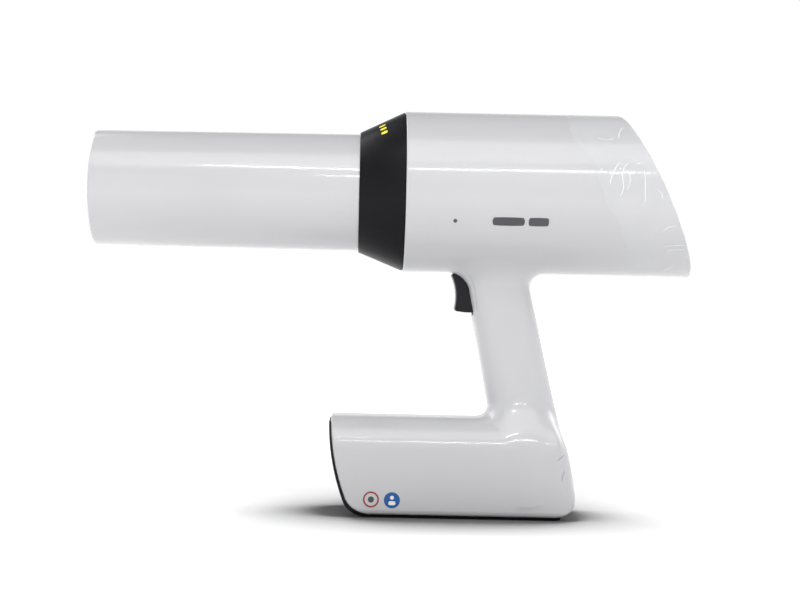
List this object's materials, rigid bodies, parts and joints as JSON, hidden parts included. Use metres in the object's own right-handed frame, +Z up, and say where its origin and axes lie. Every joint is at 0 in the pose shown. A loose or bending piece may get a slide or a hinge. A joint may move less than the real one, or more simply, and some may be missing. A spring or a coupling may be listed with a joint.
{
  "type": "hand-held intraoral x-ray unit",
  "caption": "Cordless pistol-shaped dental x-ray generator: cylindrical head with a slanted rear panel, collimator tube, trigger handle and battery foot.",
  "frame": {"origin": "middle of the unit's bounding box in plan, on the surface that it stands on", "axes": "+X towards the rear panel (the beam leaves towards -X), +Y to the user's right, +Z up"},
  "size_m": [0.3351, 0.0904, 0.2262],
  "materials": {
    "white_housing": "gloss moulded, white",
    "white_tube": "gloss moulded, white",
    "black_ring": "satin black",
    "black_cover": "satin black",
    "black_trigger": "satin to gloss black",
    "black_window": "gloss black",
    "display": "dark display",
    "bezel_grey": "fine satin texture",
    "key_grey": "satin",
    "power_key_green": "satin",
    "flap_grey": "satin",
    "clear_film": "clear, wrinkled",
    "seal_rubber": "matt",
    "black_parts": "matt",
    "red_parts": "matt",
    "blue_parts": "satin",
    "white_parts": "matt",
    "amber_plastic": "translucent amber",
    "circuit_board": "solder mask",
    "steel": "plated",
    "screw_steel": "dark plated",
    "insert_brass": "turned",
    "copper": "copper",
    "lead": "dull lead sheet",
    "ferrite": "matt ferrite",
    "tank_aluminium": "machined",
    "heat_sink_aluminium": "extruded",
    "tube_glass": "clear",
    "cell_wrap": "shrink wrap",
    "wire_red": "insulated wire",
    "ribbon_grey": "flat cable"
  },
  "bodies": {
    "housing": {"left_housing": "white_housing", "right_housing": "white_housing", "front_ring": "black_ring", "ring_seal": "seal_rubber", "collimator_tube": "white_tube", "tube_liner": "lead", "rear_bezel": "bezel_grey", "display_window": "black_window", "display_module": "display", "control_board": "circuit_board", "buzzer": "black_parts", "keypad_mat": "seal_rubber", "trigger_pin": "steel", "trigger_spring": "steel", "trigger_switch": "black_parts", "switch_bracket": "steel", "foot_cover": "black_cover", "cover_screws": "screw_steel", "housing_screws": "screw_steel", "threaded_inserts": "insert_brass", "flap_pin": "steel", "charge_jack": "black_parts", "charge_board": "circuit_board", "protective_film": "clear_film", "tank_body": "tank_aluminium", "tank_lid": "tank_aluminium", "tank_gasket": "seal_rubber", "tank_screws": "screw_steel", "filler_screw": "screw_steel", "expansion_bellows": "seal_rubber", "lead_jacket": "lead", "tube_glass": "tube_glass", "anode": "copper", "target_disc": "steel", "cathode_cup": "steel", "tube_cradle": "white_parts", "transformer_core": "ferrite", "transformer_windings": "copper", "multiplier_board": "circuit_board", "multiplier_parts": "blue_parts", "beam_window": "amber_plastic", "beam_filter": "tank_aluminium", "beam_diaphragm": "lead", "inverter_board": "circuit_board", "inverter_parts": "blue_parts", "heat_sink": "heat_sink_aluminium", "battery_tray": "black_parts", "battery_cells": "cell_wrap", "cell_tabs": "steel", "battery_board": "circuit_board", "power_wires": "wire_red", "signal_ribbon": "ribbon_grey"},
    "trigger": {"trigger": "black_trigger"},
    "plunger": {"switch_plunger": "red_parts"},
    "power_key": {"power_button": "power_key_green"},
    "mode_key": {"mode_button": "key_grey"},
    "up_key": {"up_button": "key_grey"},
    "down_key": {"down_button": "key_grey"},
    "flap": {"port_flap": "flap_grey"}
  },
  "joints": [
    {"name": "trigger_pull", "type": "hinge", "parent": "housing", "child": "trigger", "pos_m": [0.048, 0, 0.1295], "axis": [0, -1, 0], "range_deg": [0, 6], "stiffness_Nm_per_rad": 0.3, "springref_deg": -6.88, "deforming": ["trigger_spring"]},
    {"name": "plunger_travel", "type": "slide", "parent": "housing", "child": "plunger", "axis": [1, 0, 0], "range_m": [0, 0.0011]},
    {"name": "power_press", "type": "slide", "parent": "housing", "child": "power_key", "axis": [-0.9081, 0, -0.4187], "range_m": [0, 0.0008], "stiffness_N_per_m": 1000, "springref_m": -0.001},
    {"name": "mode_press", "type": "slide", "parent": "housing", "child": "mode_key", "axis": [-0.9081, 0, -0.4187], "range_m": [0, 0.0008], "stiffness_N_per_m": 1000, "springref_m": -0.001},
    {"name": "up_press", "type": "slide", "parent": "housing", "child": "up_key", "axis": [-0.9081, 0, -0.4187], "range_m": [0, 0.0008], "stiffness_N_per_m": 1000, "springref_m": -0.001},
    {"name": "down_press", "type": "slide", "parent": "housing", "child": "down_key", "axis": [-0.9081, 0, -0.4187], "range_m": [0, 0.0008], "stiffness_N_per_m": 1000, "springref_m": -0.001},
    {"name": "flap_open", "type": "hinge", "parent": "housing", "child": "flap", "pos_m": [0.0973, 0, 0.037], "axis": [0, -1, 0], "range_deg": [0, 80]}
  ],
  "couplings": [
    {"joint": "plunger_travel", "follows": "trigger_pull", "m_per_rad": 0.01}
  ]
}
